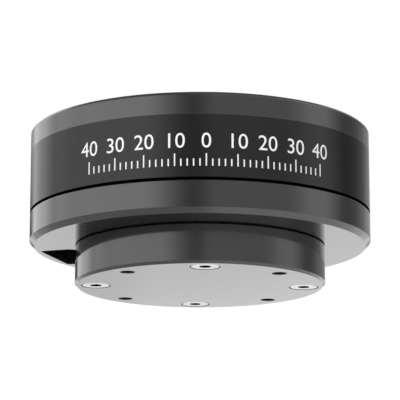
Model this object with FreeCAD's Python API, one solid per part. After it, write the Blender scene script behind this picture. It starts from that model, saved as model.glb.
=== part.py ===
"""Brushless outrunner gimbal motor with an absolute encoder in a closed neck under its base.

Frame: origin at the centre of the flat mounting face under the neck, +Z up along the spin axis towards
the rotor, -X through the middle of the cable window in the base. All sizes are in millimetres.
"""
import FreeCAD
import Part
import math
import os

# Outside, from the mounting face up
body_diameter = 69.0      # rotor and base are one diameter
neck_diameter = 50.5
neck_height = 7.9
base_height = 6.15
running_gap = 0.65        # axial gap between the base rim and the flux ring
ring_height = 12.2
cap_height = 4.4
base_chamfer = 1.0
cap_chamfer = 0.4
neck_chamfer = 0.5
seam_height = 0.25        # shadow line where the neck meets the base
seam_depth = 1.2

# Fits
slip = 0.02               # radial clearance of seated round pieces
bond_line = 0.05          # adhesive between magnet and ring
thread_slack = 0.05       # radial clearance of a screw in its own thread

# Magnetic circuit
ring_wall = 1.4
magnet_thickness = 1.7
magnet_count = 28
magnet_spacing = 0.6      # free width between neighbouring magnets
magnet_inset = 0.6        # magnets stand back from the ring's open edge
air_gap = 0.35
slot_count = 24
stack_height = 8.0
tooth_width = 2.8
yoke_wall = 3.3
shoe_tip = 0.6
shoe_root = 1.2
slot_opening = 1.4
coil_clearance = 0.1      # slot insulation between wire and tooth
coil_spacing = 0.3        # free width between neighbouring coils
coil_end_build = 1.8
coil_corner = 1.0
coil_end_margin = 0.3
phase_count = 3
coils_in_group = 2        # neighbouring coils of one phase

# Rotor cap
plate_thickness = 3.0
spigot_depth = 1.2
spigot_wall = 1.8
spigot_fillet = 0.8
spigot_to_magnet = 0.4
output_circle = 30.0
output_hole_count = 4
thread_drill = 2.5        # M3 tapping size
thread_mouth = 3.0
shaft_end_recess = 0.2

# Base
lip_clearance = 0.3       # dust lip on the rim, to the flux ring and to the magnets
lip_wall = 0.5
floor_thickness = 2.5
hub_diameter = 34.0
hub_foot = 1.4            # step that the stator stack stands on
dish_fillet = 1.0
lower_bearing_inset = 1.6
window_width = 15.0
window_land = 2.55        # from the base's side to the window's outer end
window_to_bolts = 3.4     # from the bolt circle to the wide part of the window
window_inner_corner = 2.0  # rounding of the wide part's corners
window_outer_corner = 0.8
throat_width = 6.0        # narrow way from the window into the neck
throat_margin = 1.0       # floor left between the throat and the hub

# Encoder neck
neck_wall = 2.0
neck_floor = 2.2
neck_fillet = 0.8
bolt_edge = 4.25          # bolt circle stands in from the neck's side
bolt_angle = 21.6         # first cover screw, from +X
bolt_count = 4            # screws, and as many mounting holes between them
pillar_radius = 3.0
mount_hole_depth = 6.0

# Screws
cover_screw_thread = 3.0
cover_screw_head = 5.5
cover_screw_socket = 2.0
cover_screw_hole = 3.2
cover_screw_grip = 2.3    # thread length inside the base floor
flange_screw_thread = 2.5
flange_screw_head = 4.6
flange_screw_socket = 1.5
flange_screw_margin = 0.15  # tip stays this far inside the flange
flange_screw_count = 4
head_land = 0.15
head_recess = 0.05
socket_depth = 1.1
tip_chamfer = 0.3

# Shaft
shaft_wall = 1.5
flange_thickness = 2.0
flange_screw_offset = 3.0  # screw circle, out from the shaft's side
flange_edge = 2.5
shoulder_height = 0.4
shaft_overhang = 0.9      # shaft end below the base
clip_groove_depth = 0.35
clip_thickness = 1.0
clip_play = 0.05
clip_wall = 1.3           # radial width opposite the gap
clip_end_wall = 0.7       # radial width beside the lugs
clip_lug_radius = 1.0
clip_lug_hole = 0.5
clip_lug_angle = 24.0
clip_half_gap = 18.0      # degrees
shim_thickness = 0.3
plug_step = 0.5
plug_grip = 4.0           # length of plug inside the shaft

# Bearings
bearing_bore = 15.0
bearing_outer = 24.0
bearing_width = 5.0
ball_diameter = 2.0
ball_count = 16
race_clearance = 0.03
land_offset = 0.65        # race lands stand this far from the pitch circle
cage_clearance = 0.15
cage_reach = 0.75         # fingers rise this far past the ball centres
pocket_clearance = 0.06
shield_thickness = 0.25
shield_depth = 0.5
cage_to_shield = 0.25

# Encoder
board_gap = 1.0           # between board edge and pillars
board_thickness = 1.0
board_standoff = 0.5
board_screw_edge = 4.0    # screw circle, in from the board's edge
board_screw_count = 3
board_screw_thread = 2.0
board_screw_head = 3.8
board_screw_head_height = 1.3
board_screw_dome = 0.8
board_screw_length = 2.4
board_boss_radius = 2.2
cross_width = 0.5         # driver recess
cross_length = 2.2
cross_depth = 0.5
chip_length = 5.0
chip_width = 4.4
chip_height = 1.0
chip_lead_count = 7       # on each long side
chip_lead_pitch = 0.65
chip_lead_width = 0.24
chip_lead_span = 6.4
chip_lead_thickness = 0.15
sensing_gap = 1.0
magnet_disc_diameter = 6.0
magnet_disc_height = 2.5
connector_length = 8.0
connector_depth = 4.2
connector_height = 2.0
connector_wall = 0.5
connector_pin_count = 6
connector_pin_pitch = 1.0
connector_pin_width = 0.3
connector_pin_length = 2.5
capacitor_count = 3
capacitor_length = 1.6
capacitor_width = 0.8
capacitor_offset = 5.2
capacitor_angle = 30.0    # between neighbours

# Radii that follow from the sizes above
body_radius = body_diameter / 2
neck_radius = neck_diameter / 2
ring_inner_radius = body_radius - ring_wall
magnet_outer_radius = ring_inner_radius - bond_line
magnet_inner_radius = magnet_outer_radius - magnet_thickness
stator_radius = magnet_inner_radius - air_gap
hub_radius = hub_diameter / 2
yoke_radius = hub_radius + yoke_wall
lip_radius = ring_inner_radius - lip_clearance
rim_inner_radius = lip_radius - lip_wall
bolt_radius = neck_radius - bolt_edge
shaft_radius = bearing_bore / 2 - slip
shaft_bore_radius = shaft_radius - shaft_wall
plug_seat_radius = shaft_bore_radius - plug_step
bearing_seat_radius = bearing_outer / 2 + slip
flange_screw_radius = shaft_radius + flange_screw_offset
flange_radius = flange_screw_radius + flange_edge
race_radius = (bearing_bore + bearing_outer) / 4
ball_radius = ball_diameter / 2
inner_land_radius = race_radius - land_offset
outer_land_radius = race_radius + land_offset
shield_seat_radius = (outer_land_radius + bearing_outer / 2) / 2
board_radius = bolt_radius - pillar_radius - board_gap
board_screw_radius = board_radius - board_screw_edge

# Heights that follow
base_z = neck_height
floor_z = base_z + floor_thickness
rim_z = base_z + base_height
ring_z = rim_z + running_gap
cap_z = ring_z + ring_height
top_z = cap_z + cap_height
plate_z = top_z - plate_thickness
spigot_z = cap_z - spigot_depth
magnet_z = ring_z + magnet_inset
magnet_height = spigot_z - spigot_to_magnet - magnet_z
lip_z = magnet_z - lip_clearance
stack_z = magnet_z + (magnet_height - stack_height) / 2
flange_z = plate_z - flange_thickness
upper_bearing_z = flange_z - shoulder_height - bearing_width
lower_bearing_z = base_z + lower_bearing_inset
hub_top_z = upper_bearing_z + bearing_width
spacer_z = lower_bearing_z + bearing_width
clip_z = lower_bearing_z - shim_thickness - clip_thickness
shaft_end_z = base_z - shaft_overhang
plug_top_z = shaft_end_z + plug_grip
board_z = neck_floor + board_standoff
board_top_z = board_z + board_thickness
sensor_face_z = board_top_z + chip_height + sensing_gap

up = FreeCAD.Vector(0, 0, 1)
centre = FreeCAD.Vector(0, 0, 0)


def at(radius, degrees, z=0.0):
    """The point at that radius and angle about the spin axis."""
    angle = math.radians(degrees)
    return FreeCAD.Vector(radius * math.cos(angle), radius * math.sin(angle), z)


def angles(count, first=0.0):
    return [first + 360.0 * k / count for k in range(count)]


def turned_copy(shape, degrees):
    copy = shape.copy()
    copy.rotate(centre, up, degrees)
    return copy


def line(start, end):
    return Part.LineSegment(start, end).toShape()


def arc(start, middle, end):
    return Part.Arc(start, middle, end).toShape()


def rounded_wire(corners):
    """A closed wire through (point, radius) corners. A radius of 0 leaves the corner sharp."""
    ends = []
    for k, (point, radius) in enumerate(corners):
        before = (corners[k - 1][0] - point).normalize()
        after = (corners[(k + 1) % len(corners)][0] - point).normalize()
        if radius == 0:
            ends.append((point, None, point))
            continue
        half = before.getAngle(after) / 2
        reach = radius / math.tan(half)
        bisector = (before + after).normalize()
        middle = point + bisector * (radius / math.sin(half) - radius)
        ends.append((point + before * reach, middle, point + after * reach))
    edges = []
    for k, (start, middle, end) in enumerate(ends):
        if middle is not None:
            edges.append(arc(start, middle, end))
        edges.append(line(end, ends[(k + 1) % len(ends)][0]))
    return Part.Wire(edges)


def turned(corners):
    """A solid turned about the spin axis from (radius, height) or (radius, height, fillet) corners."""
    points = [(FreeCAD.Vector(c[0], 0, c[1]), c[2] if len(c) > 2 else 0) for c in corners]
    return Part.Face(rounded_wire(points)).revolve(centre, up, 360)


def disc(radius, low, high, place=centre):
    return Part.makeCylinder(radius, high - low, FreeCAD.Vector(place.x, place.y, low))


def tube(inner, outer, low, high):
    return turned([(inner, low), (outer, low), (outer, high), (inner, high)])


def block(length, depth, height, place):
    """A box centred on place in plan, standing on its height."""
    corner = FreeCAD.Vector(place.x - length / 2, place.y - depth / 2, place.z)
    return Part.makeBox(length, depth, height, corner)


def hex_prism(across_flats, low, high):
    points = [at(across_flats / math.sqrt(3), a, low) for a in angles(6)]
    face = Part.Face(Part.makePolygon(points + points[:1]))
    return face.extrude(up * (high - low))


def countersunk_screw(head, thread, length, socket):
    """A flat-head socket screw standing on its head: head face at z = 0, tip up."""
    cone = head / 2 - thread / 2
    body = turned([(0, 0), (head / 2, 0), (head / 2, head_land), (thread / 2, head_land + cone),
                   (thread / 2, length - tip_chamfer), (thread / 2 - tip_chamfer, length), (0, length)])
    return body.cut(hex_prism(socket, 0, socket_depth))


def countersink(head, hole):
    """The cone that seats such a head, its mouth at z = 0, opening downwards."""
    mouth = head / 2 + head_land + head_recess + slip * math.sqrt(2)
    return Part.makeCone(mouth, hole / 2, mouth - hole / 2)


def moved(shape, place):
    copy = shape.copy()
    copy.translate(place)
    return copy


def upside_down(shape):
    copy = shape.copy()
    copy.rotate(centre, FreeCAD.Vector(1, 0, 0), 180)
    return copy


# Rotor

def flange_screw_angles():
    """The flange screws stand half a step round from the output holes."""
    return angles(flange_screw_count, 180.0 / flange_screw_count)


def rotor_cap():
    """Turned cap: flat top plate, outer rim over the ring, and a spigot inside it."""
    bore = shaft_radius + slip
    spigot_outer = ring_inner_radius - slip
    spigot_inner = ring_inner_radius - spigot_wall
    cap = turned([(bore, plate_z), (spigot_inner, plate_z, spigot_fillet), (spigot_inner, spigot_z),
                  (spigot_outer, spigot_z), (spigot_outer, cap_z), (body_radius, cap_z),
                  (body_radius, top_z - cap_chamfer), (body_radius - cap_chamfer, top_z), (bore, top_z)])
    sink = moved(upside_down(countersink(flange_screw_head, flange_screw_thread)), up * top_z)
    tools = []
    for a in flange_screw_angles():
        place = at(flange_screw_radius, a)
        tools += [moved(sink, place), disc(flange_screw_thread / 2 + slip, plate_z, top_z, place)]
    mouth = (thread_mouth - thread_drill) / 2
    chamfer = Part.makeCone(thread_drill / 2, thread_mouth / 2, mouth, up * (top_z - mouth))
    for a in angles(output_hole_count):
        place = at(output_circle / 2, a)
        tools += [disc(thread_drill / 2, plate_z, top_z, place), moved(chamfer, place)]
    return cap.cut(tools)


def flux_ring():
    return tube(ring_inner_radius, body_radius, ring_z, cap_z)


def rotor_magnets():
    """Arc magnets on the inside of the flux ring, a small space apart."""
    middle = (magnet_inner_radius + magnet_outer_radius) / 2
    width = 360.0 / magnet_count - math.degrees(magnet_spacing / middle)
    points = [FreeCAD.Vector(r, 0, z) for r, z in (
        (magnet_inner_radius, magnet_z), (magnet_outer_radius, magnet_z),
        (magnet_outer_radius, magnet_z + magnet_height), (magnet_inner_radius, magnet_z + magnet_height))]
    magnet = Part.Face(Part.makePolygon(points + points[:1])).revolve(centre, up, width)
    return Part.makeCompound([turned_copy(magnet, a) for a in angles(magnet_count)])


def shaft():
    """Hollow shaft with its top flange, an inner-ring shoulder, the clip groove and the plug seat."""
    groove = shaft_radius - clip_groove_depth
    clip_low = clip_z - clip_play
    clip_high = clip_z + clip_thickness + clip_play
    end = top_z - shaft_end_recess
    body = turned([(shaft_bore_radius, plug_top_z), (plug_seat_radius, plug_top_z),
                   (plug_seat_radius, shaft_end_z), (shaft_radius, shaft_end_z),
                   (shaft_radius, clip_low), (groove, clip_low), (groove, clip_high),
                   (shaft_radius, clip_high), (shaft_radius, hub_top_z), (inner_land_radius, hub_top_z),
                   (inner_land_radius, flange_z), (flange_radius, flange_z), (flange_radius, plate_z),
                   (shaft_radius, plate_z), (shaft_radius, end), (shaft_bore_radius, end)])
    hole = flange_screw_thread / 2 + thread_slack
    places = [at(flange_screw_radius, a) for a in flange_screw_angles()]
    return body.cut([disc(hole, flange_z, plate_z, place) for place in places])


def shaft_screws():
    length = plate_thickness + flange_thickness - head_recess - flange_screw_margin
    screw = countersunk_screw(flange_screw_head, flange_screw_thread, length, flange_screw_socket)
    screw = upside_down(screw)
    return Part.makeCompound([moved(screw, at(flange_screw_radius, a, top_z - head_recess))
                              for a in flange_screw_angles()])


def bearing_spacer():
    return tube(shaft_radius + slip, inner_land_radius, spacer_z, upper_bearing_z)


def preload_shim():
    return tube(shaft_radius + slip, inner_land_radius, lower_bearing_z - shim_thickness, lower_bearing_z)


def shaft_clip():
    """External retaining ring: widest opposite its gap, with two drilled lugs."""
    inner = shaft_radius - clip_groove_depth + slip
    high = clip_z + clip_thickness
    outer = inner + (clip_wall + clip_end_wall) / 2
    ring = disc(outer, clip_z, high, at((clip_wall - clip_end_wall) / 2, 180))
    lugs = [disc(clip_lug_radius, clip_z, high, at(outer, side * clip_lug_angle)) for side in (-1, 1)]
    holes = [disc(clip_lug_hole, clip_z, high, at(outer, side * clip_lug_angle)) for side in (-1, 1)]
    reach = 2 * outer
    gap_points = [up * clip_z, at(reach, -clip_half_gap, clip_z), at(reach, clip_half_gap, clip_z)]
    gap = Part.Face(Part.makePolygon(gap_points + gap_points[:1])).extrude(up * clip_thickness)
    return ring.multiFuse(lugs).cut([disc(inner, clip_z, high), gap] + holes).removeSplitter()


def magnet_plug():
    """Plug in the shaft's lower end with a pocket for the encoder magnet."""
    body = disc(plug_seat_radius - slip, sensor_face_z, plug_top_z)
    return body.cut(disc(magnet_disc_diameter / 2 + slip, sensor_face_z, sensor_face_z + magnet_disc_height))


def encoder_magnet():
    return disc(magnet_disc_diameter / 2, sensor_face_z, sensor_face_z + magnet_disc_height)


# Stator

def cable_window():
    """Tool for the opening in the base floor: a wide window outside the neck and a throat into it."""
    half_window = window_width / 2
    outer_end = body_radius - window_land
    inner_end = bolt_radius + window_to_bolts
    throat_end = hub_radius + hub_foot + throat_margin
    half_throat = throat_width / 2
    outline = [(-outer_end, -half_window, window_outer_corner),
               (-inner_end, -half_window, window_inner_corner), (-inner_end, -half_throat, 0),
               (-throat_end, -half_throat, 0), (-throat_end, half_throat, 0), (-inner_end, half_throat, 0),
               (-inner_end, half_window, window_inner_corner), (-outer_end, half_window, window_outer_corner)]
    corners = [(FreeCAD.Vector(x, y, base_z), radius) for x, y, radius in outline]
    return Part.Face(rounded_wire(corners)).extrude(up * (floor_thickness + dish_fillet))


def stator_base():
    """Turned base: dish with a rim and dust lip, bearing hub in its middle, cable window in its floor."""
    foot = hub_radius + hub_foot
    seat = bearing_seat_radius
    base = turned([(seat, base_z), (body_radius - base_chamfer, base_z), (body_radius, base_z + base_chamfer),
                   (body_radius, rim_z), (lip_radius, rim_z), (lip_radius, lip_z), (rim_inner_radius, lip_z),
                   (rim_inner_radius, floor_z, dish_fillet),
                   (foot, floor_z, dish_fillet), (foot, stack_z), (hub_radius - slip, stack_z),
                   (hub_radius - slip, hub_top_z), (seat, hub_top_z), (seat, upper_bearing_z),
                   (outer_land_radius, upper_bearing_z), (outer_land_radius, spacer_z), (seat, spacer_z)])
    hole = cover_screw_thread / 2 + thread_slack
    holes = [disc(hole, base_z, floor_z, at(bolt_radius, a)) for a in angles(bolt_count, bolt_angle)]
    return base.cut([cable_window()] + holes)


def stator_core():
    """Laminated stack: a yoke with shoed teeth, drawn as one outline and extruded."""
    half_pitch = 180.0 / slot_count
    tip = half_pitch - math.degrees(slot_opening / 2 / stator_radius)
    half_tooth = tooth_width / 2
    root = math.degrees(math.asin(half_tooth / yoke_radius))
    tooth_end = math.hypot(stator_radius - shoe_root, half_tooth)
    end = math.degrees(math.asin(half_tooth / tooth_end))
    edges = []
    for a in angles(slot_count):
        right = [at(yoke_radius, a - root, stack_z), at(tooth_end, a - end, stack_z),
                 at(stator_radius - shoe_tip, a - tip, stack_z), at(stator_radius, a - tip, stack_z)]
        left = [at(stator_radius, a + tip, stack_z), at(stator_radius - shoe_tip, a + tip, stack_z),
                at(tooth_end, a + end, stack_z), at(yoke_radius, a + root, stack_z)]
        edges += [line(right[k], right[k + 1]) for k in range(3)]
        edges.append(arc(right[3], at(stator_radius, a, stack_z), left[0]))
        edges += [line(left[k], left[k + 1]) for k in range(3)]
        next_tooth = at(yoke_radius, a + 2 * half_pitch - root, stack_z)
        edges.append(arc(left[3], at(yoke_radius, a + half_pitch, stack_z), next_tooth))
    outline = Part.Wire(Part.__sortEdges__(edges))
    bore = Part.Wire(Part.makeCircle(hub_radius, up * stack_z))
    face = Part.Face(outline).cut(Part.Face(bore))
    return face.extrude(up * stack_height).Solids[0]


def coil():
    """One coil round the tooth on +X: a tapered racetrack that fills its half of each slot."""
    taper = math.tan(math.pi / slot_count)
    near = yoke_radius + coil_end_margin
    far = stator_radius - shoe_root - coil_end_margin
    middle_z = stack_z + stack_height / 2
    half_height = stack_height / 2 + coil_clearance + coil_end_build
    outlines = []
    for radius in (near, far):
        half_width = radius * taper - coil_spacing / 2
        corners = [FreeCAD.Vector(radius, side * half_width, middle_z + rise * half_height)
                   for side, rise in ((-1, -1), (1, -1), (1, 1), (-1, 1))]
        outlines.append(rounded_wire([(c, coil_corner) for c in corners]))
    body = Part.makeLoft(outlines, True, True)
    opening = block(far - near, tooth_width + 2 * coil_clearance, stack_height + 2 * coil_clearance,
                    FreeCAD.Vector((near + far) / 2, 0, stack_z - coil_clearance))
    return body.cut(opening)


def phase_coils(phase):
    """The coils of one phase, wound in neighbouring pairs round the stack."""
    one = coil()
    own = [a for k, a in enumerate(angles(slot_count)) if k // coils_in_group % phase_count == phase]
    return Part.makeCompound([turned_copy(one, a) for a in own])


# Bearings

def race_ring(wall, side, low, shielded):
    """A bearing ring from its round wall to its land. side is 1 for the outer ring and -1 for the inner."""
    land = race_radius + side * land_offset
    groove_radius = ball_radius + race_clearance
    floor = race_radius + side * groove_radius
    chord = math.sqrt(groove_radius ** 2 - land_offset ** 2)
    high = low + bearing_width
    middle = low + bearing_width / 2
    groove = arc(FreeCAD.Vector(land, 0, middle - chord), FreeCAD.Vector(floor, 0, middle),
                 FreeCAD.Vector(land, 0, middle + chord))
    if shielded:
        seat = shield_seat_radius
        lower = [(wall, low), (seat, low), (seat, low + shield_depth), (land, low + shield_depth)]
        upper = [(land, high - shield_depth), (seat, high - shield_depth), (seat, high), (wall, high)]
    else:
        lower = [(wall, low), (land, low)]
        upper = [(land, high), (wall, high)]
    lower.append((land, middle - chord))
    upper.insert(0, (land, middle + chord))
    edges = []
    for chain in (lower, upper):
        points = [FreeCAD.Vector(r, 0, z) for r, z in chain]
        edges += [line(points[k], points[k + 1]) for k in range(len(points) - 1)]
    edges += [groove, line(FreeCAD.Vector(wall, 0, high), FreeCAD.Vector(wall, 0, low))]
    return Part.Face(Part.Wire(Part.__sortEdges__(edges))).revolve(centre, up, 360)


def outer_ring(low):
    return race_ring(bearing_outer / 2, 1, low, True)


def inner_ring(low):
    return race_ring(bearing_bore / 2, -1, low, False)


def balls(low):
    ball = Part.makeSphere(ball_radius, at(race_radius, 0, low + bearing_width / 2))
    return Part.makeCompound([turned_copy(ball, a) for a in angles(ball_count)])


def cage(low):
    """Crown cage: a ring behind the balls with fingers between them."""
    middle = low + bearing_width / 2
    ring = tube(inner_land_radius + cage_clearance, outer_land_radius - cage_clearance,
                low + shield_depth + cage_to_shield, middle + cage_reach)
    pocket = Part.makeSphere(ball_radius + pocket_clearance, at(race_radius, 0, middle))
    return ring.cut([turned_copy(pocket, a) for a in angles(ball_count)])


def shields(low):
    inner = inner_land_radius + cage_clearance
    outer = shield_seat_radius - slip
    high = low + bearing_width
    return Part.makeCompound([
        tube(inner, outer, low + shield_depth - shield_thickness, low + shield_depth),
        tube(inner, outer, high - shield_depth, high - shield_depth + shield_thickness)])


# Encoder neck

def encoder_cover():
    """Turned cup with screw pillars, mounting holes between the screws, and bosses for the board."""
    inner = neck_radius - neck_wall
    seam = neck_radius - seam_depth
    cup = turned([(0, 0), (neck_radius - neck_chamfer, 0), (neck_radius, neck_chamfer),
                  (neck_radius, neck_height - seam_height), (seam, neck_height - seam_height),
                  (seam, neck_height), (inner, neck_height), (inner, neck_floor, neck_fillet),
                  (0, neck_floor)])
    screws = [at(bolt_radius, a) for a in angles(bolt_count, bolt_angle)]
    mounts = [at(bolt_radius, a) for a in angles(bolt_count, bolt_angle + 180.0 / bolt_count)]
    pillars = [disc(pillar_radius, neck_floor, neck_height, place) for place in screws + mounts]
    bosses = [disc(board_boss_radius, neck_floor, board_z, at(board_screw_radius, a))
              for a in angles(board_screw_count)]
    cup = cup.multiFuse(pillars + bosses).removeSplitter()
    sink = countersink(cover_screw_head, cover_screw_hole)
    mouth = (thread_mouth - thread_drill) / 2
    chamfer = Part.makeCone(thread_mouth / 2, thread_drill / 2, mouth)
    tools = []
    for place in screws:
        tools += [disc(cover_screw_hole / 2, 0, neck_height, place), moved(sink, place)]
    for place in mounts:
        tools += [disc(thread_drill / 2, 0, mount_hole_depth, place), moved(chamfer, place)]
    blind = board_top_z - board_screw_length - thread_slack
    for a in angles(board_screw_count):
        tools.append(disc(board_screw_thread / 2 + thread_slack, blind, board_z, at(board_screw_radius, a)))
    return cup.cut(tools)


def cover_screws():
    length = base_z + cover_screw_grip - head_recess
    screw = countersunk_screw(cover_screw_head, cover_screw_thread, length, cover_screw_socket)
    places = [at(bolt_radius, a, head_recess) for a in angles(bolt_count, bolt_angle)]
    return Part.makeCompound([moved(screw, place) for place in places])


def encoder_board():
    board = disc(board_radius, board_z, board_top_z)
    holes = [disc(board_screw_thread / 2 + thread_slack, board_z, board_top_z, at(board_screw_radius, a))
             for a in angles(board_screw_count)]
    return board.cut(holes)


def board_screws():
    """Pan-head screws that hold the board on its bosses."""
    head_top = board_top_z + board_screw_head_height
    tip = board_top_z - board_screw_length
    thread = board_screw_thread / 2
    screw = turned([(0, tip), (thread, tip), (thread, board_top_z), (board_screw_head / 2, board_top_z),
                    (board_screw_head / 2, head_top, board_screw_dome), (0, head_top)])
    for length, width in ((cross_length, cross_width), (cross_width, cross_length)):
        screw = screw.cut(block(length, width, cross_depth, up * (head_top - cross_depth)))
    return Part.makeCompound([moved(screw, at(board_screw_radius, a)) for a in angles(board_screw_count)])


def encoder_chip():
    """Moulded sensor package with bent leads along its two long sides."""
    body = block(chip_length, chip_width, chip_height, up * board_top_z)
    pieces = [body]
    foot = chip_lead_span / 2
    side = chip_width / 2
    knee = (foot + side) / 2
    shelf = board_top_z + chip_height / 2
    metal = chip_lead_thickness
    outline = [(side, shelf), (knee, shelf), (knee, board_top_z), (foot, board_top_z),
               (foot, board_top_z + metal), (knee + metal, board_top_z + metal),
               (knee + metal, shelf + metal), (side, shelf + metal)]
    for k in range(chip_lead_count):
        x = (k - (chip_lead_count - 1) / 2) * chip_lead_pitch - chip_lead_width / 2
        for way in (-1, 1):
            points = [FreeCAD.Vector(x, way * y, z) for y, z in outline]
            face = Part.Face(Part.makePolygon(points + points[:1]))
            pieces.append(face.extrude(FreeCAD.Vector(chip_lead_width, 0, 0)))
    return Part.makeCompound(pieces)


def board_connector():
    """Side-entry wire header at the board's window side, open towards the window."""
    place = at(board_screw_radius, 180, board_top_z)
    shell = block(connector_depth, connector_length, connector_height, place)
    cavity_length = connector_length - 2 * connector_wall
    cavity = block(connector_depth, cavity_length, connector_height - 2 * connector_wall,
                   place + FreeCAD.Vector(-connector_wall, 0, connector_wall))
    return shell.cut(cavity)


def connector_pins():
    """Contacts standing in the header's cavity, on its back wall."""
    place = at(board_screw_radius, 180, board_top_z + connector_height / 2 - connector_pin_width / 2)
    middle = place.x + connector_depth / 2 - connector_wall - connector_pin_length / 2
    pins = []
    for k in range(connector_pin_count):
        y = (k - (connector_pin_count - 1) / 2) * connector_pin_pitch
        pins.append(block(connector_pin_length, connector_pin_width, connector_pin_width,
                          FreeCAD.Vector(middle, y, place.z)))
    return Part.makeCompound(pins)


def board_capacitors():
    one = block(capacitor_length, capacitor_width, capacitor_width, at(capacitor_offset, 0, board_top_z))
    turns = [(k - (capacitor_count - 1) / 2) * capacitor_angle for k in range(capacitor_count)]
    return Part.makeCompound([turned_copy(one, a) for a in turns])


pieces = {
    "rotor_cap": rotor_cap,
    "flux_ring": flux_ring,
    "rotor_magnets": rotor_magnets,
    "shaft": shaft,
    "shaft_screws": shaft_screws,
    "bearing_spacer": bearing_spacer,
    "preload_shim": preload_shim,
    "shaft_clip": shaft_clip,
    "magnet_plug": magnet_plug,
    "encoder_magnet": encoder_magnet,
    "upper_bearing_inner_ring": lambda: inner_ring(upper_bearing_z),
    "lower_bearing_inner_ring": lambda: inner_ring(lower_bearing_z),
    "stator_base": stator_base,
    "stator_core": stator_core,
    "phase_a_coils": lambda: phase_coils(0),
    "phase_b_coils": lambda: phase_coils(1),
    "phase_c_coils": lambda: phase_coils(2),
    "upper_bearing_outer_ring": lambda: outer_ring(upper_bearing_z),
    "lower_bearing_outer_ring": lambda: outer_ring(lower_bearing_z),
    "upper_bearing_shields": lambda: shields(upper_bearing_z),
    "lower_bearing_shields": lambda: shields(lower_bearing_z),
    "upper_bearing_balls": lambda: balls(upper_bearing_z),
    "lower_bearing_balls": lambda: balls(lower_bearing_z),
    "upper_bearing_cage": lambda: cage(upper_bearing_z),
    "lower_bearing_cage": lambda: cage(lower_bearing_z),
    "encoder_cover": encoder_cover,
    "cover_screws": cover_screws,
    "encoder_board": encoder_board,
    "board_screws": board_screws,
    "encoder_chip": encoder_chip,
    "board_connector": board_connector,
    "connector_pins": connector_pins,
    "board_capacitors": board_capacitors,
}

os.makedirs("parts", exist_ok=True)
for name, make in pieces.items():
    shape = make()
    shape.exportStep(f"parts/{name}.step")
    print(f"{name}: {len(shape.Solids)} solids, {shape.Volume:.2f} mm3, valid {shape.isValid()}")
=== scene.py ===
import math

import bmesh
import bpy
from mathutils import Matrix, Vector


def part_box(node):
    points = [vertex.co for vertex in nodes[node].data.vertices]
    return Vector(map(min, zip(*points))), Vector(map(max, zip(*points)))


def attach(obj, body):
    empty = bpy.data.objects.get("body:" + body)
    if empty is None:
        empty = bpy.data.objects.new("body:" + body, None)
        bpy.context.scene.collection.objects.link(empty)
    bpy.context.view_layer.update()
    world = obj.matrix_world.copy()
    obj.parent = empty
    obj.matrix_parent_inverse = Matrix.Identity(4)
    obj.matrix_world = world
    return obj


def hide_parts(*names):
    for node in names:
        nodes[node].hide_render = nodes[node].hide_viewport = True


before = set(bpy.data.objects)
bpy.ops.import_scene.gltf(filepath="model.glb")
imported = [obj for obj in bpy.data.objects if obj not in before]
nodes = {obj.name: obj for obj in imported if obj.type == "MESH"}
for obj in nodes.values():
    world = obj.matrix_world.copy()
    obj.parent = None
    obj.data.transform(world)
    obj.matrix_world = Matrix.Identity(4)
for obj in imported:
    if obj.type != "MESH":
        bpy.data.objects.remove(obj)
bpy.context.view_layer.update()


# Small helpers for shader trees

mixColour = {"share": 0, "first": 6, "second": 7, "result": 2}  # the mix node's sockets for colours


def plug(tree, value, socket):
    if isinstance(value, bpy.types.NodeSocket):
        tree.links.new(value, socket)
    else:
        socket.default_value = value


def setSockets(tree, node, sockets):
    for name, value in sockets.items():
        plug(tree, value, node.inputs[name])


def addNode(tree, kind, sockets=None, **settings):
    node = tree.nodes.new(kind)
    for name, value in settings.items():
        setattr(node, name, value)
    setSockets(tree, node, sockets or {})
    return node


def calc(tree, operation, *values):
    return addNode(tree, "ShaderNodeMath", dict(enumerate(values)), operation=operation).outputs["Value"]


def either(tree, switch, on, off):  # on where the switch is 1, off where it is 0
    shown = calc(tree, "MULTIPLY", switch, on)
    return calc(tree, "ADD", shown, calc(tree, "MULTIPLY", calc(tree, "SUBTRACT", 1.0, switch), off))


def rise(tree, value, low, high, start=0.0, end=1.0):  # smooth step from start at low to end at high
    sockets = {"Value": value, "From Min": low, "From Max": high, "To Min": start, "To Max": end}
    return addNode(tree, "ShaderNodeMapRange", sockets, interpolation_type="SMOOTHSTEP").outputs["Result"]


def tint(tree, share, first, second):  # colour that goes from first to second
    sockets = {mixColour["share"]: share, mixColour["first"]: first, mixColour["second"]: second}
    return addNode(tree, "ShaderNodeMix", sockets, data_type="RGBA").outputs[mixColour["result"]]


def grain(tree, where, size, detail=2.0, roughness=0.5):  # noise whose lumps are about size metres wide
    sockets = {"Vector": where, "Scale": 1.0 / size, "Detail": detail, "Roughness": roughness}
    return addNode(tree, "ShaderNodeTexNoise", sockets).outputs["Fac"]


def relief(tree, height, depth, below=None):  # bump of that depth in metres
    sockets = {"Height": height, "Strength": 1.0, "Distance": depth}
    if below is not None:
        sockets["Normal"] = below
    return addNode(tree, "ShaderNodeBump", sockets).outputs["Normal"]


def grey(level, warm=0.0):
    return (level * (1 + warm), level, level * (1 - warm), 1.0)


def newFinish(name):  # a material, its tree, and the place on the object
    material = bpy.data.materials.new(name)
    material.use_nodes = True
    tree = material.node_tree
    return material, tree, addNode(tree, "ShaderNodeTexCoord").outputs["Object"]


# Small helpers for objects

def awayFrom(azimuth, elevation):  # direction out of the motor, from its front round to the right
    turn = math.radians(azimuth)
    lift = math.radians(elevation)
    return Vector((math.sin(turn) * math.cos(lift), -math.cos(turn) * math.cos(lift), math.sin(lift)))


def addObject(name, data):
    made = bpy.data.objects.new(name, data)
    bpy.context.scene.collection.objects.link(made)
    return made


def addPiece(name, build, finish):
    mesh = bpy.data.meshes.new(name)
    build.to_mesh(mesh)
    build.free()
    mesh.materials.append(finish)
    return addObject(name, mesh)


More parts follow.
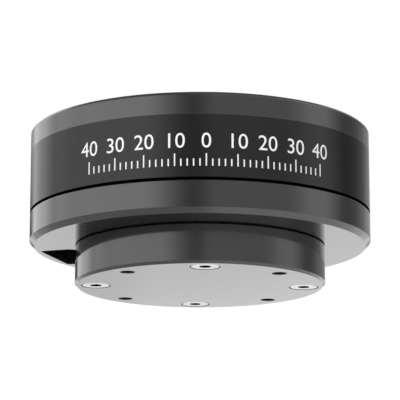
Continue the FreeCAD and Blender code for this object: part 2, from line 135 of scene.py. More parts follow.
def joinLoops(build, first, second):
    for k in range(len(first)):
        after = (k + 1) % len(first)
        build.faces.new((first[k], first[after], second[after], second[k]))


def joinRound(build, loops):  # each loop to the next, and the last to the first
    for k in range(len(loops)):
        joinLoops(build, loops[k], loops[(k + 1) % len(loops)])


# Camera, at the angle that the motor is seen from: a little to the right and from below

photoCamera = {
    "azimuth": 18.9,       # degrees round the spin axis
    "elevation": -12.63,
    "distance": 0.44296,
    "aimHeight": 0.01789,
    "lens": 195.7,
    "sensor": 36.0,
    "clip": (0.01, 100.0),
}


def placeCamera(look):
    away = awayFrom(look["azimuth"], look["elevation"])
    data = bpy.data.cameras.new("photoCamera")
    data.lens = look["lens"]
    data.sensor_width = look["sensor"]
    data.clip_start, data.clip_end = look["clip"]
    camera = addObject("photoCamera", data)
    camera.location = Vector((0.0, 0.0, look["aimHeight"])) + away * look["distance"]
    camera.rotation_mode = "QUATERNION"
    camera.rotation_quaternion = (-away).to_track_quat("-Z", "Y")
    bpy.context.scene.camera = camera


placeCamera(photoCamera)
print("camera placed")


# Studio: a white sweep behind the motor, soft panels round it that only polished faces show, plain lamps

studio = {
    "facing": 18.9,        # bearings are measured from this azimuth, right is positive
    "background": 1.0,     # white
    "roomGlow": 0.22,      # what polished faces see between the panels
    "ambient": 0.36,       # what matt faces get from all round
    "sweep": {             # the white behind the motor, which polished faces see too
        "bearing": 180, "width": (-6, 6), "fade": (7, 7), "height": (4, 21), "soft": (6, 6), "glow": 1.0,
    },
}

# Panels in degrees: full strength across width and height, fading out past them
# A panel whose glow is below zero is a dark flag
panels = {
    "leftSoftbox": {"bearing": -70, "width": (-30, 30), "fade": (36, 36),
                    "height": (6, 22), "soft": (12, 12), "glow": 1.53},
    "leftEdge": {"bearing": -139, "width": (-8, 8), "fade": (12, 20),
                 "height": (-2, 34), "soft": (11, 11), "glow": 1.48},
    "leftReturn": {"bearing": -158, "width": (-3, 1.5), "fade": (6, 4),
                   "height": (13.6, 36), "soft": (2, 2), "glow": 0.4},
    "leftFlag": {"bearing": -173, "width": (-5, 5), "fade": (6, 6),
                 "height": (10, 12.6), "soft": (2, 4), "glow": -0.16},
    "leftDip": {"bearing": -96, "width": (-4, 4), "fade": (10, 16),
                "height": (6, 22), "soft": (12, 12), "glow": -0.2},
    "neckLeftFlag": {"bearing": -168, "width": (-12, 12), "fade": (8, 8),
                     "height": (10.2, 11.45), "soft": (0.6, 0.3), "glow": -0.14},
    "neckRightFlag": {"bearing": 164, "width": (-14, 14), "fade": (16, 8),
                      "height": (10.2, 11.45), "soft": (0.6, 0.3), "glow": -0.18},
    "frontFill": {"bearing": 36, "width": (-25, 24), "fade": (14, 14),
                  "height": (-4, 36), "soft": (10, 10), "glow": 0.38},
    "rightStrip": {"bearing": 83, "width": (-4, 4), "fade": (21, 28),
                   "height": (-4, 36), "soft": (10, 10), "glow": 0.9},
    "rightEdge": {"bearing": 166, "width": (-12, 6), "fade": (34, 10),
                  "height": (-4, 12), "soft": (10, 5.5), "glow": 0.33},
    "highFront": {"bearing": 48, "width": (-42, 45), "fade": (24, 20),
                  "height": (24, 36), "soft": (8, 8), "glow": 0.7},
    "highSweep": {"bearing": 180, "width": (-60, 60), "fade": (30, 30),
                  "height": (24, 38), "soft": (7, 7), "glow": 0.5},
    "overhead": {"bearing": 0, "width": (-180, 180), "fade": (1, 1),
                 "height": (58, 90), "soft": (24, 24), "glow": 0.04},
    "floorGlow": {"bearing": 0, "width": (-180, 180), "fade": (1, 1),
                  "height": (-90, -28), "soft": (12, 12), "glow": 0.42},
    "lowRight": {"bearing": 85, "width": (-45, 45), "fade": (45, 45),
                 "height": (-90, -16), "soft": (8, 8), "glow": 0.54},
    "lowFront": {"bearing": 28, "width": (-28, 50), "fade": (22, 20),
                 "height": (-30, -6), "soft": (6, 6), "glow": 0.28},
    "lowLeftEdge": {"bearing": -152, "width": (-4, 10), "fade": (8, 12),
                    "height": (-18, -14.5), "soft": (12, 3), "glow": 0.55},
    "lowRightEdge": {"bearing": 152, "width": (-10, 4), "fade": (14, 8),
                     "height": (-18, -14), "soft": (12, 6), "glow": 0.7},
    "leftTip": {"bearing": -162, "width": (-8, 6), "fade": (6, 4),
                "height": (-3.2, -2.5), "soft": (4, 7), "glow": 0.7},
    "rightTip": {"bearing": 162, "width": (-6, 8), "fade": (4, 6),
                 "height": (-3.2, -2.5), "soft": (4, 7), "glow": 0.26},
    "lowSweep": {"bearing": 180, "width": (-20, 20), "fade": (16, 16),
                 "height": (-34, -8), "soft": (8, 8), "glow": 1.13},
    "sweepFlag": {"bearing": -177.5, "width": (-2, 0.5), "fade": (5, 1.5),
                  "height": (-10.9, -10.7), "soft": (0.2, 0.8), "glow": -0.22},
    "sweepLeftFlag": {"bearing": -177, "width": (-0.4, 0.4), "fade": (1.6, 1.2),
                      "height": (-10.7, -9), "soft": (0.2, 3), "glow": -0.2},
}


def rayAngles(tree, facing):  # bearing and height of what a ray looks at, in degrees
    look = addNode(tree, "ShaderNodeTexCoord").outputs["Generated"]
    turned = addNode(tree, "ShaderNodeVectorRotate", {"Vector": look, "Angle": -math.radians(facing)},
                     rotation_type="Z_AXIS").outputs["Vector"]
    split = addNode(tree, "ShaderNodeSeparateXYZ", {"Vector": turned}).outputs
    ahead = calc(tree, "MULTIPLY", split["Y"], -1.0)
    perRadian = math.degrees(1.0)
    bearing = calc(tree, "MULTIPLY", calc(tree, "ARCTAN2", split["X"], ahead), perRadian)
    height = calc(tree, "MULTIPLY", calc(tree, "ARCSINE", split["Z"]), perRadian)
    return bearing, height


def panelGlow(tree, bearing, height, panel):
    apart = calc(tree, "WRAP", calc(tree, "SUBTRACT", bearing, panel["bearing"]), 180.0, -180.0)
    left, right = panel["width"]
    fadeLeft, fadeRight = panel["fade"]
    low, high = panel["height"]
    below, above = panel["soft"]
    fromLeft = rise(tree, apart, left - fadeLeft, left, 0.0, panel["glow"])
    toRight = rise(tree, apart, right, right + fadeRight, 1.0, 0.0)
    fromBelow = rise(tree, height, low - below, low)
    toAbove = rise(tree, height, high, high + above, 1.0, 0.0)
    across = calc(tree, "MULTIPLY", fromLeft, toRight)
    return calc(tree, "MULTIPLY", across, calc(tree, "MULTIPLY", fromBelow, toAbove))


def polishedView(tree, room, softPanels):
    bearing, height = rayAngles(tree, room["facing"])
    total = room["roomGlow"]
    for panel in softPanels.values():
        total = calc(tree, "ADD", total, panelGlow(tree, bearing, height, panel))
    return calc(tree, "MAXIMUM", total, panelGlow(tree, bearing, height, room["sweep"]))


def lightStudio(room, softPanels):
    world = bpy.data.worlds.new("studio")
    bpy.context.scene.world = world
    world.use_nodes = True
    world.cycles.sampling_method = "NONE"  # each kind of ray then sees its own side of the studio
    tree = world.node_tree
    tree.nodes.clear()
    rays = addNode(tree, "ShaderNodeLightPath").outputs
    seen = calc(tree, "MAXIMUM", rays["Is Camera Ray"], rays["Is Transmission Ray"])
    plain = either(tree, seen, room["background"], room["ambient"])
    strength = either(tree, rays["Is Glossy Ray"], polishedView(tree, room, softPanels), plain)
    light = addNode(tree, "ShaderNodeBackground", {"Color": grey(1.0), "Strength": strength})
    addNode(tree, "ShaderNodeOutputWorld", {"Surface": light.outputs["Background"]})


lamps = {  # bearing from the camera's side, height above the horizon, both in degrees
    "keyLamp": {"bearing": -38, "height": 12, "distance": 1.6, "size": 1.2, "watts": 11.0},
    "fillLamp": {"bearing": 22, "height": 3, "distance": 1.6, "size": 1.2, "watts": 8.0},
    "backLamp": {"bearing": 180, "height": 48, "distance": 1.8, "size": 1.4, "watts": 34.0},
}


def hangLamp(name, lamp, facing):
    away = awayFrom(facing + lamp["bearing"], lamp["height"])
    data = bpy.data.lights.new(name, "AREA")
    data.shape = "DISK"
    data.size = lamp["size"]
    data.energy = lamp["watts"]
    light = addObject(name, data)
    light.location = away * lamp["distance"]
    light.rotation_mode = "QUATERNION"
    light.rotation_quaternion = away.to_track_quat("Z", "Y")
    light.visible_camera = False
    light.visible_glossy = False  # polished faces show the studio's panels instead


floorSheet = {
    "height": -0.72,
    "half": 9.0,           # half of its side
    "colour": 0.86,
    "clear": (1.2, 3.5),   # distances from its middle where it goes over into the white
}


def layFloor(sheet):
    mesh = bpy.data.meshes.new("floor")
    half = sheet["half"]
    corners = [(-half, -half, 0.0), (half, -half, 0.0), (half, half, 0.0), (-half, half, 0.0)]
    mesh.from_pydata(corners, [], [(0, 1, 2, 3)])
    floor = addObject("floor", mesh)
    floor.location.z = sheet["height"]
    floor.visible_glossy = False
    material, tree, place = newFinish("paleFloor")
    tree.nodes.remove(tree.nodes["Principled BSDF"])
    matt = addNode(tree, "ShaderNodeBsdfDiffuse", {"Color": grey(sheet["colour"])}).outputs["BSDF"]
    white = addNode(tree, "ShaderNodeEmission", {"Color": grey(1.0), "Strength": 1.0}).outputs["Emission"]
    far = addNode(tree, "ShaderNodeVectorMath", {0: place}, operation="LENGTH").outputs["Value"]
    rays = addNode(tree, "ShaderNodeLightPath").outputs
    share = calc(tree, "MULTIPLY", rise(tree, far, *sheet["clear"]), rays["Is Camera Ray"])
    mix = addNode(tree, "ShaderNodeMixShader", {0: share, 1: matt, 2: white})
    setSockets(tree, tree.nodes["Material Output"], {"Surface": mix.outputs["Shader"]})
    mesh.materials.append(material)


lightStudio(studio, panels)
for lampName, lampSet in lamps.items():
    hangLamp(lampName, lampSet, studio["facing"])
layFloor(floorSheet)
bpy.context.scene.view_settings.view_transform = "Standard"
print("studio lit:", len(panels), "panels,", len(lamps), "lamps")


# Finishes

noiseReach = (0.3, 0.7)  # most of a noise lies between these


def setShader(tree, sockets):
    setSockets(tree, tree.nodes["Principled BSDF"], sockets)


def glossFrom(tree, noise, gloss):  # roughness that follows a noise from one end of gloss to the other
    return rise(tree, noise, *noiseReach, *gloss)


def roundAxis(tree, place):  # radius from the spin axis, and height
    split = addNode(tree, "ShaderNodeSeparateXYZ", {"Vector": place}).outputs
    flat = addNode(tree, "ShaderNodeCombineXYZ", {"X": split["X"], "Y": split["Y"]}).outputs["Vector"]
    radius = addNode(tree, "ShaderNodeVectorMath", {0: flat}, operation="LENGTH").outputs["Value"]
    return radius, split["Z"]


def ringGrain(tree, place, size, detail, roughness):  # noise in rings, as a lathe leaves
    radius, height = roundAxis(tree, place)
    rings = addNode(tree, "ShaderNodeCombineXYZ", {"X": radius, "Y": height}).outputs["Vector"]
    return grain(tree, rings, size, detail, roughness)


anodised = {
    "dark": grey(0.0135, -0.01),
    "light": grey(0.0185, -0.02),
    "clouds": 0.006,       # size of the faint clouds in the dye
    "cloudDetail": 4.0,
    "ior": 1.77,           # aluminium oxide
    "gloss": (0.085, 0.125),
    "feed": 0.00022,       # lathe feed marks
    "feedDetail": 3.0,
    "feedRoughness": 0.65,
    "feedDepth": 2.0e-7,
    "edge": 0.00012,       # rounding of the turned edges
    "edgeSamples": 8,
    "rim": (0.0334, 0.0338),      # between these radii, and these heights,
    "rimFoot": (0.0294, 0.0298),  # the rounding grows to that of the cap's top edge
    "rimEdge": 0.0005,
}
neckAnodised = {  # the neck is a shade greyer
    **anodised,
    "dark": grey(0.027, -0.01),
    "light": grey(0.033, -0.01),
    "ior": 1.64,
    "gloss": (0.07, 0.105),
}


def anodisedFinish(name, look):
    material, tree, place = newFinish(name)
    clouds = grain(tree, place, look["clouds"], look["cloudDetail"])
    feed = ringGrain(tree, place, look["feed"], look["feedDetail"], look["feedRoughness"])
    radius, height = roundAxis(tree, place)
    atRim = calc(tree, "MULTIPLY", rise(tree, radius, *look["rim"]), rise(tree, height, *look["rimFoot"]))
    rounding = calc(tree, "MULTIPLY_ADD", atRim, look["rimEdge"] - look["edge"], look["edge"])
    rounded = addNode(tree, "ShaderNodeBevel", {"Radius": rounding}, samples=look["edgeSamples"])
    setShader(tree, {
        "Base Color": tint(tree, clouds, look["dark"], look["light"]),
        "Roughness": glossFrom(tree, feed, look["gloss"]),
        "Normal": relief(tree, feed, look["feedDepth"], rounded.outputs["Normal"]),
        "IOR": look["ior"],
    })
    return material


coatedSteel = {
    "dark": grey(0.028),
    "light": grey(0.0345),
    "clouds": 0.004,
    "cloudDetail": 3.0,
    "metallic": 0.6,
    "edge": 0.72,          # the coating keeps its darkness at a flat angle
    "ior": 1.4,
    "gloss": (0.10, 0.14),
    "peel": 0.0011,        # size of the ripples in the coating
    "peelDepth": 3.0e-7,
}


def coatedSteelFinish(name, look):
    material, tree, place = newFinish(name)
    clouds = grain(tree, place, look["clouds"], look["cloudDetail"])
    peel = grain(tree, place, look["peel"])
    setShader(tree, {
        "Base Color": tint(tree, clouds, look["dark"], look["light"]),
        "Roughness": glossFrom(tree, peel, look["gloss"]),
        "Normal": relief(tree, peel, look["peelDepth"]),
        "Metallic": look["metallic"],
        "Specular Tint": grey(look["edge"]),
        "IOR": look["ior"],
    })
    return material


metals = {  # base colours, gloss range, size and depth of the tool marks
    "bright_screw_steel": {"dark": grey(0.4), "light": grey(0.45), "gloss": (0.2, 0.3),
                           "mark": 0.0002, "depth": 3e-7},
    "shaft_steel": {"dark": grey(0.44), "light": grey(0.52), "gloss": (0.16, 0.26),
                    "mark": 0.00015, "depth": 4e-7},
    "bearing_steel": {"dark": grey(0.5), "light": grey(0.56), "gloss": (0.07, 0.12),
                      "mark": 0.0001, "depth": 1e-7},
    "shield_steel": {"dark": grey(0.42), "light": grey(0.5), "gloss": (0.24, 0.34),
                     "mark": 0.0003, "depth": 5e-7},
    "spring_steel": {"dark": grey(0.12), "light": grey(0.17), "gloss": (0.3, 0.42),
                     "mark": 0.0004, "depth": 6e-7},
    "plated_magnet": {"dark": grey(0.52, 0.03), "light": grey(0.6, 0.03), "gloss": (0.16, 0.26),
                      "mark": 0.0006, "depth": 6e-7},
    "plug_aluminium": {"dark": grey(0.66), "light": grey(0.74), "gloss": (0.2, 0.32),
                       "mark": 0.0002, "depth": 6e-7},
    "contact_metal": {"dark": (0.62, 0.46, 0.2, 1.0), "light": (0.72, 0.54, 0.24, 1.0),
                      "gloss": (0.18, 0.26), "mark": 0.0003, "depth": 3e-7},
}
metalGrain = {"clouds": 0.003, "cloudDetail": 3.0, "markDetail": 3.0, "markRoughness": 0.6}


def metalFinish(name, look):
    material, tree, place = newFinish(name)
    clouds = grain(tree, place, metalGrain["clouds"], metalGrain["cloudDetail"])
    marks = ringGrain(tree, place, look["mark"], metalGrain["markDetail"], metalGrain["markRoughness"])
    setShader(tree, {
        "Base Color": tint(tree, clouds, look["dark"], look["light"]),
        "Roughness": glossFrom(tree, marks, look["gloss"]),
        "Normal": relief(tree, marks, look["depth"]),
        "Metallic": 1.0,
    })
    return material


mouldings = {  # matt and satin pieces
    "cage_nylon": {"dark": (0.62, 0.56, 0.42, 1.0), "light": (0.7, 0.64, 0.5, 1.0),
                   "gloss": (0.38, 0.5)},
    "board_laminate": {"dark": (0.012, 0.05, 0.022, 1.0), "light": (0.018, 0.07, 0.03, 1.0),
                       "gloss": (0.3, 0.4)},
    "chip_moulding": {"dark": grey(0.014), "light": grey(0.026),
                      "gloss": (0.5, 0.62)},
    "header_plastic": {"dark": (0.7, 0.66, 0.56, 1.0), "light": (0.78, 0.74, 0.64, 1.0),
                       "gloss": (0.34, 0.44)},
    "capacitor_ceramic": {"dark": (0.36, 0.23, 0.12, 1.0), "light": (0.46, 0.3, 0.17, 1.0),
                          "gloss": (0.42, 0.52)},
}
mouldingGrain = {"fine": 0.0003, "fineDetail": 4.0, "fineDepth": 2e-6, "clouds": 0.0012}


def mouldedFinish(name, look):
    material, tree, place = newFinish(name)
    fine = grain(tree, place, mouldingGrain["fine"], mouldingGrain["fineDetail"])
    setShader(tree, {
        "Base Color": tint(tree, fine, look["dark"], look["light"]),
        "Roughness": glossFrom(tree, grain(tree, place, mouldingGrain["clouds"]), look["gloss"]),
        "Normal": relief(tree, fine, mouldingGrain["fineDepth"]),
    })
    return material


laminations = {
    "sheet": 0.00035,
    "seam": 0.00035 / 6,   # dark line between two sheets
    "depth": 1.5e-5,       # of that line
    "dark": grey(0.09),
    "light": grey(0.2),
    "clouds": 0.0025,
    "cloudDetail": 3.0,
    "gloss": (0.34, 0.5),
    "metallic": 0.8,
}


def laminationFinish(name, look):
    material, tree, place = newFinish(name)
    height = addNode(tree, "ShaderNodeSeparateXYZ", {"Vector": place}).outputs["Z"]
    edge = rise(tree, calc(tree, "PINGPONG", height, look["sheet"] / 2), 0.0, look["seam"])
    clouds = grain(tree, place, look["clouds"], look["cloudDetail"])
    setShader(tree, {
        "Base Color": tint(tree, calc(tree, "MULTIPLY", edge, clouds), look["dark"], look["light"]),
        "Roughness": glossFrom(tree, clouds, look["gloss"]),
        "Normal": relief(tree, edge, look["depth"]),
        "Metallic": look["metallic"],
    })
    return material


enamel = {
    "dark": (0.3, 0.085, 0.025, 1.0),
    "light": (0.48, 0.16, 0.05, 1.0),
    "clouds": 0.0008,
    "cloudDetail": 3.0,
    "gloss": (0.2, 0.34),
    "metallic": 0.85,
    "coat": 0.6,
    "coatRoughness": 0.12,
}


def copperFinish(name, look):
    material, tree, place = newFinish(name)
    clouds = grain(tree, place, look["clouds"], look["cloudDetail"])
    setShader(tree, {
        "Base Color": tint(tree, clouds, look["dark"], look["light"]),
        "Roughness": glossFrom(tree, clouds, look["gloss"]),
        "Metallic": look["metallic"],
        "Coat Weight": look["coat"],
        "Coat Roughness": look["coatRoughness"],
    })
    return material


def camelName(slotName):
    first, *others = slotName.split("_")
    return first + "".join(word.capitalize() for word in others)


def mixFinishes():  # one finish for each of the record's material slots
    made = {
        "anodised_black": anodisedFinish("anodisedBlack", anodised),
        "coated_ring_steel": coatedSteelFinish("coatedRingSteel", coatedSteel),
        "lamination_steel": laminationFinish("laminationSteel", laminations),
        "enamelled_copper": copperFinish("enamelledCopper", enamel),
    }
    for slotName, look in metals.items():
        made[slotName] = metalFinish(camelName(slotName), look)
    for slotName, look in mouldings.items():
        made[slotName] = mouldedFinish(camelName(slotName), look)
    return made


def dressNodes():
    for node in nodes.values():
        slotName = node.data.materials[0].name.split(".")[0]
        node.data.materials[0] = finishes[slotName]
    nodes["encoder_cover"].data.materials[0] = anodisedFinish("neckBlack", neckAnodised)


finishes = mixFinishes()
dressNodes()
print("finishes on:", len(finishes), "materials")


# Painted shade: sockets, seats round the screw heads, tapped holes, seam and running gap are painted near
# black for the shade that fills them

holesEach = 4
holeCircles = {  # radius from the spin axis, and the first hole's angle from +X in degrees
    "coverScrews": (0.021, 21.6),
    "mountHoles": (0.021, 66.6),
    "outputHoles": (0.015, 0.0),
    "shaftScrews": (0.01048, 45.0),
    "spinAxis": (0.0, 0.0),
}

# Painted shade: the faces of these recesses and gaps get a near-black finish that reflects nothing
recesses = {
    "colour": (0.002, 0.006),
    "grain": 0.0003,
    "grainDetail": 3.0,
    "roughness": 0.9,
    "shine": 0.0,
    "holeShadeRamp": (0.06, 0.0003),  # painted shade in the neck's tapped holes: lighter at the mouth, dark from this depth on
    "rows": [  # radii are about each place on the circle
        {"node": "cover_screws", "circle": "coverScrews",
         "radii": (0.0, 0.0012), "heights": (6e-5, 0.0012)},
        {"node": "encoder_cover", "circle": "coverScrews",
         "radii": (0.0, 0.00299), "heights": (1e-5, 0.0014)},
        {"node": "encoder_cover", "circle": "mountHoles", "threaded": True,
         "radii": (0.0, 0.00151), "heights": (1e-5, 0.0061)},
        {"node": "encoder_cover", "circle": "spinAxis",
         "radii": (0.0238, 0.0243), "heights": (0.00764, 0.0079)},
        {"node": "stator_base", "circle": "spinAxis",
         "radii": (0.0322, 0.0344), "heights": (0.01404, 0.0151)},
        {"node": "flux_ring", "circle": "spinAxis",
         "radii": (0.033, 0.0345), "heights": (0.0146, 0.01471)},
        {"node": "rotor_cap", "circle": "outputHoles",
         "radii": (0.0, 0.00151), "heights": (0.0283, 0.03129)},
        {"node": "rotor_cap", "circle": "shaftScrews",
         "radii": (0.0, 0.00254), "heights": (0.0299, 0.03129)},
        {"node": "shaft_screws", "circle": "shaftScrews",
         "radii": (0.0, 0.0009), "heights": (0.0301, 0.03124)},
    ],
}


# Near-black painted shade that reflects nothing; with a mouth it is lighter at the hole's mouth and
# darker with depth
def darkFinish(name, look, mouth=None):
    material, tree, place = newFinish(name)
    low, high = look["colour"]
    colour = tint(tree, grain(tree, place, look["grain"], look["grainDetail"]), grey(low), grey(high))
    # Painted shade that deepens into the hole: the mouth's level at the face, full dark from the given
    # depth on
    if mouth:
        level, depth = mouth
        height = addNode(tree, "ShaderNodeSeparateXYZ", {"Vector": place}).outputs["Z"]
        colour = tint(tree, rise(tree, height, 0.0, depth), grey(level), colour)
    setShader(tree, {
        "Base Color": colour,
        "Roughness": look["roughness"],
        "Specular IOR Level": look["shine"],
    })
    return material


def holeAxes(circleName):
    radius, first = holeCircles[circleName]
    turns = [math.radians(first + 360.0 * k / holesEach) for k in range(holesEach)]
    return [Vector((math.cos(turn), math.sin(turn))) * radius for turn in turns]


def addFinish(mesh, finish):  # gives the finish's index on the mesh
    if finish.name not in mesh.materials:
        mesh.materials.append(finish)
    return mesh.materials.find(finish.name)


# Paints shade on the faces of one row of recesses
def darkenRow(row, finish):
    axes = holeAxes(row["circle"])
    mesh = nodes[row["node"]].data
    index = addFinish(mesh, finish)
    near, far = row["radii"]
    low, high = row["heights"]
    for face in mesh.polygons:
        if low < face.center.z < high:
            apart = min((face.center.to_2d() - axis).length for axis in axes)
            if near <= apart < far:
                face.material_index = index


# Painted shade for the recesses, and for the tapped holes painted shade that deepens inwards
paintedShadeMaterial = darkFinish("paintedShadeRecess", recesses)
holeShadeMaterial = darkFinish("tappedHoleShade", recesses, recesses["holeShadeRamp"])
for recessRow in recesses["rows"]:
    darkenRow(recessRow, holeShadeMaterial if "threaded" in recessRow else paintedShadeMaterial)
print("recesses darkened:", len(recesses["rows"]), "rows")


# Painted shade: a dark ring round the mouth of each hex socket, standing for the shade in the socket's
# chamfer

socketMouthShade = {
    "rows": [  # size across flats, width of the painted shade ring, and which way the mouth looks
        {"node": "cover_screws", "body": "stator", "circle": "coverScrews",
         "flats": 0.0020, "edge": 0.00011, "up": -1},
        {"node": "shaft_screws", "body": "rotor", "circle": "shaftScrews",
         "flats": 0.0015, "edge": 0.0001, "up": 1},
    ],
    "proud": 0.000004,     # how far the painted shade ring stands over the screw's face
    "sunk": 0.00005,
}


def hexLoop(build, axis, flats, z):
    reach = flats / math.sqrt(3)
    loop = []
    for k in range(6):
        turn = math.radians(60.0 * k)
        x = axis.x + reach * math.cos(turn)
        y = axis.y + reach * math.sin(turn)
        loop.append(build.verts.new((x, y, z)))
    return loop


def edgeMouths(look, finish):
    for row in look["rows"]:
        low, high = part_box(row["node"])
        face = low.z if row["up"] < 0 else high.z
        proud = face + row["up"] * look["proud"]
        sunk = face - row["up"] * look["sunk"]
        inner = row["flats"] - row["edge"]
        outer = row["flats"] + 2 * row["edge"]
        section = ((inner, proud), (outer, proud), (outer, sunk), (inner, sunk))
        mouths = bmesh.new()
        for axis in holeAxes(row["circle"]):
            joinRound(mouths, [hexLoop(mouths, axis, flats, z) for flats, z in section])
        bmesh.ops.recalc_face_normals(mouths, faces=mouths.faces)
        # a thin sheet of painted shade over each socket's mouth
        piece = addPiece(row["node"] + "Mouths", mouths, finish)
        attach(piece, row["body"])


edgeMouths(socketMouthShade, paintedShadeMaterial)
print("socket mouths edged")


# Tinned ends of the board's small pieces

tinned = {
    "finish": {"dark": grey(0.5), "light": grey(0.58), "gloss": (0.22, 0.32),
               "mark": 0.0003, "depth": 3e-7},
    "chipSide": 0.002201,  # leads stand out from here
    "capacitorBody": (0.00445, 0.00595),  # radii between which a capacitor is bare
}


def tinFaces(nodeName, finish, isTinned):
    mesh = nodes[nodeName].data
    index = addFinish(mesh, finish)
    for face in mesh.polygons:
        if isTinned(face.center):
            face.material_index = index


def tinEnds(look):
    tin = metalFinish("tinnedLead", look["finish"])
    near, far = look["capacitorBody"]
    tinFaces("encoder_chip", tin, lambda place: abs(place.y) > look["chipSide"])
    tinFaces("board_capacitors", tin, lambda place: not near < place.to_2d().length < far)


tinEnds(tinned)
print("leads tinned")


# Windings: each coil's outer layer of wire, over the turns under it

windings = {
    "wire": 0.00052,       # enamelled wire, outside diameter
    "teeth": 24,
    "phases": ("phase_a_coils", "phase_b_coils", "phase_c_coils"),
    "group": 2,            # neighbouring coils of one phase
    "near": 0.0206,        # first and last turn, from the spin axis
    "far": 0.0295,
    "spacing": 0.0003,     # free width between neighbouring coils
    "tooth": 0.0030,       # opening that the tooth fills
    "bend": 0.0010,        # outside radius of the coil's corners
    "bendPoints": 4,
    "wireSides": 6,
    "packing": 0.0001,     # how far the under layers stand back at the coil's ends
}


def coilLoop(look, radius, halfWidth, halfHeight, bend, height):
    loop = []  # points round a tooth, with their outward directions
    for corner, (side, top) in enumerate(((1, 1), (-1, 1), (-1, -1), (1, -1))):
        bendCentre = Vector((radius, side * (halfWidth - bend), height + top * (halfHeight - bend)))
        for k in range(look["bendPoints"]):
            turn = math.radians(90.0 * (corner + k / (look["bendPoints"] - 1)))
            out = Vector((0.0, math.cos(turn), math.sin(turn)))
            loop.append((bendCentre + out * bend, out))
    return loop


def wireRing(coil, look, middle, out):
    ring = []
    for k in range(look["wireSides"]):
        turn = 2 * math.pi * k / look["wireSides"]
        side = out * math.cos(turn) + Vector((math.sin(turn), 0.0, 0.0))
        ring.append(coil.verts.new(middle + side * (look["wire"] / 2)))
    return ring


def wrapWire(coil, look, loopAt):  # one wire from the first turn to the last
    half = look["wire"] / 2
    turns = int((look["far"] - look["near"]) / look["wire"])
    pitch = (look["far"] - look["near"] - look["wire"]) / turns
    points = len(loopAt(look["near"]))
    last = None
    for step in range(turns * points + 1):
        middle, out = loopAt(look["near"] + half + pitch * step / points)[step % points]
        ring = wireRing(coil, look, middle, out)
        if last is None:
            coil.faces.new(ring)
        else:
            joinLoops(coil, last, ring)
        last = ring
    coil.faces.new(last)


def woundCoil(look):  # the coil round the tooth on +X
    low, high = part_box(look["phases"][0])
    stackLow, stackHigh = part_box("stator_core")
    height = (low.z + high.z) / 2
    halfHeight = (high.z - low.z) / 2
    halfStack = (stackHigh.z - stackLow.z) / 2
    taper = math.tan(math.pi / look["teeth"])
    half = look["wire"] / 2
    slack = look["packing"]

    def outerLoop(radius):
        halfWidth = radius * taper - look["spacing"] / 2 - half
        return coilLoop(look, radius, halfWidth, halfHeight - half, look["bend"] - half, height)

    def innerLoop(radius):
        return coilLoop(look, radius, look["tooth"] / 2, halfStack + slack, slack, height)

    coil = bmesh.new()
    wrapWire(coil, look, outerLoop)
    near = look["near"] + slack
    far = look["far"] - slack
    under = [outerLoop(near), outerLoop(far), innerLoop(far), innerLoop(near)]
    joinRound(coil, [[coil.verts.new(place) for place, out in loop] for loop in under])
    bmesh.ops.recalc_face_normals(coil, faces=coil.faces)
    return coil


def windPhases(look):
    coil = woundCoil(look)
    one = bpy.data.meshes.new("oneCoil")
    coil.to_mesh(one)
    coil.free()
    for phase, nodeName in enumerate(look["phases"]):
        winding = bmesh.new()
        for tooth in range(look["teeth"]):
            if tooth // look["group"] % len(look["phases"]) == phase:
                turned = one.copy()
                turned.transform(Matrix.Rotation(2 * math.pi * tooth / look["teeth"], 4, "Z"))
                winding.from_mesh(turned)
                bpy.data.meshes.remove(turned)
        piece = addPiece(nodeName + "Wound", winding, finishes["enamelled_copper"])
        piece.data.polygons.foreach_set("use_smooth", [True] * len(piece.data.polygons))
        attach(piece, "stator")
        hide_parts(nodeName)
    bpy.data.meshes.remove(one)


windPhases(windings)
print("coils wound:", windings["teeth"])


# Angle scale printed on the flux ring

angleScale = {
    "middle": 20.9,        # azimuth of the zero line
    "halfSpan": 40,        # degrees of scale each way
    "margin": 5,           # degrees past the last tick that the print may reach
    "tickStep": 2,
    "numberStep": 10,
    "tickFoot": 0.0021,    # above the ring's lower edge
    "tickLength": 0.0014,
    "longTick": 0.0024,
    "tickWidth": 0.00026,
    "numberFoot": 0.0056,
    "numberHeight": 0.0029,
    "ink": 0.00002,        # thickness, half of it in the ring
    "strip": 0.0005,       # widest flat stretch, so that the print follows the ring
    "merge": 2e-6,         # points closer than this become one
    "colour": (0.86, 0.9),
    "grain": 0.00025,
    "grainDetail": 3.0,
    "gloss": (0.42, 0.55),
}


def inkFinish(name, look):
    material, tree, place = newFinish(name)
    fine = grain(tree, place, look["grain"], look["grainDetail"])
    low, high = look["colour"]
    setShader(tree, {
        "Base Color": tint(tree, fine, grey(low), grey(high)),
        "Roughness": glossFrom(tree, fine, look["gloss"]),
    })
    return material


def numberOutline(text, look):  # flat mesh of a number, centred over x = 0 and standing on y = 0
    curve = bpy.data.curves.new("numberOutline", "FONT")
    curve.body = text
    curve.align_x = "CENTER"
    holder = addObject("numberOutline", curve)
    bpy.context.view_layer.update()
    mesh = bpy.data.meshes.new_from_object(holder.evaluated_get(bpy.context.evaluated_depsgraph_get()))
    bpy.data.objects.remove(holder)
    bpy.data.curves.remove(curve)
    low = min(point.co.y for point in mesh.vertices)
    high = max(point.co.y for point in mesh.vertices)
    size = look["numberHeight"] / (high - low)
    for point in mesh.vertices:
        point.co = Vector((point.co.x * size, (point.co.y - low) * size, 0.0))
    return mesh


def addTick(flat, x, foot, length, width):
    left = x - width / 2
    right = x + width / 2
    corners = ((left, foot), (right, foot), (right, foot + length), (left, foot + length))
    flat.faces.new([flat.verts.new((*corner, 0.0)) for corner in corners])


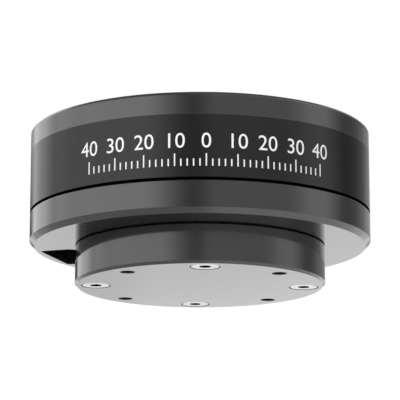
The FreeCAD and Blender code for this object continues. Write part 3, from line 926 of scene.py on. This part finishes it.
def drawScale(look, ringRadius):  # ticks and numbers, as if the ring were unrolled
    flat = bmesh.new()
    for angle in range(-look["halfSpan"], look["halfSpan"] + 1, look["tickStep"]):
        x = math.radians(angle) * ringRadius
        numbered = angle % look["numberStep"] == 0
        length = look["longTick" if numbered else "tickLength"]
        addTick(flat, x, look["tickFoot"], length, look["tickWidth"])
        if numbered:
            number = numberOutline(str(abs(angle)), look)
            number.transform(Matrix.Translation((x, look["numberFoot"], 0.0)))
            flat.from_mesh(number)
            bpy.data.meshes.remove(number)
    bmesh.ops.remove_doubles(flat, verts=flat.verts, dist=look["merge"])
    return flat


def cutStrips(flat, look, ringRadius):
    reach = math.radians(look["halfSpan"] + look["margin"]) * ringRadius
    for k in range(int(2 * reach / look["strip"])):
        cut = Vector((-reach + k * look["strip"], 0.0, 0.0))
        parts = flat.verts[:] + flat.edges[:] + flat.faces[:]
        bmesh.ops.bisect_plane(flat, geom=parts, plane_co=cut, plane_no=(1.0, 0.0, 0.0))
    bmesh.ops.remove_doubles(flat, verts=flat.verts, dist=look["merge"])


def thickenInk(flat, look):
    for face in flat.faces:
        if face.normal.z < 0:
            face.normal_flip()
    raised = bmesh.ops.extrude_face_region(flat, geom=flat.faces[:], use_keep_orig=True)["geom"]
    for part in raised:
        if isinstance(part, bmesh.types.BMVert):
            part.co.z = look["ink"]


def sortFaces(flat):  # thickening leaves them in another order each run
    flat.verts.index_update()
    inOrder = sorted(flat.faces, key=lambda face: sorted(point.index for point in face.verts))
    for k, face in enumerate(inOrder):
        face.index = k
    flat.faces.sort()


def wrapRound(flat, look, ringRadius, foot):
    for point in flat.verts:
        turn = math.radians(look["middle"]) + point.co.x / ringRadius
        out = ringRadius + point.co.z - look["ink"] / 2
        point.co = Vector((math.sin(turn) * out, -math.cos(turn) * out, foot + point.co.y))
    bmesh.ops.recalc_face_normals(flat, faces=flat.faces)


def printScale(look):
    low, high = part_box("flux_ring")
    flat = drawScale(look, high.x)
    cutStrips(flat, look, high.x)
    thickenInk(flat, look)
    sortFaces(flat)
    wrapRound(flat, look, high.x, low.z)
    piece = addPiece("angleScale", flat, inkFinish("whiteInk", look))
    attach(piece, "rotor")


printScale(angleScale)
print("angle scale printed")
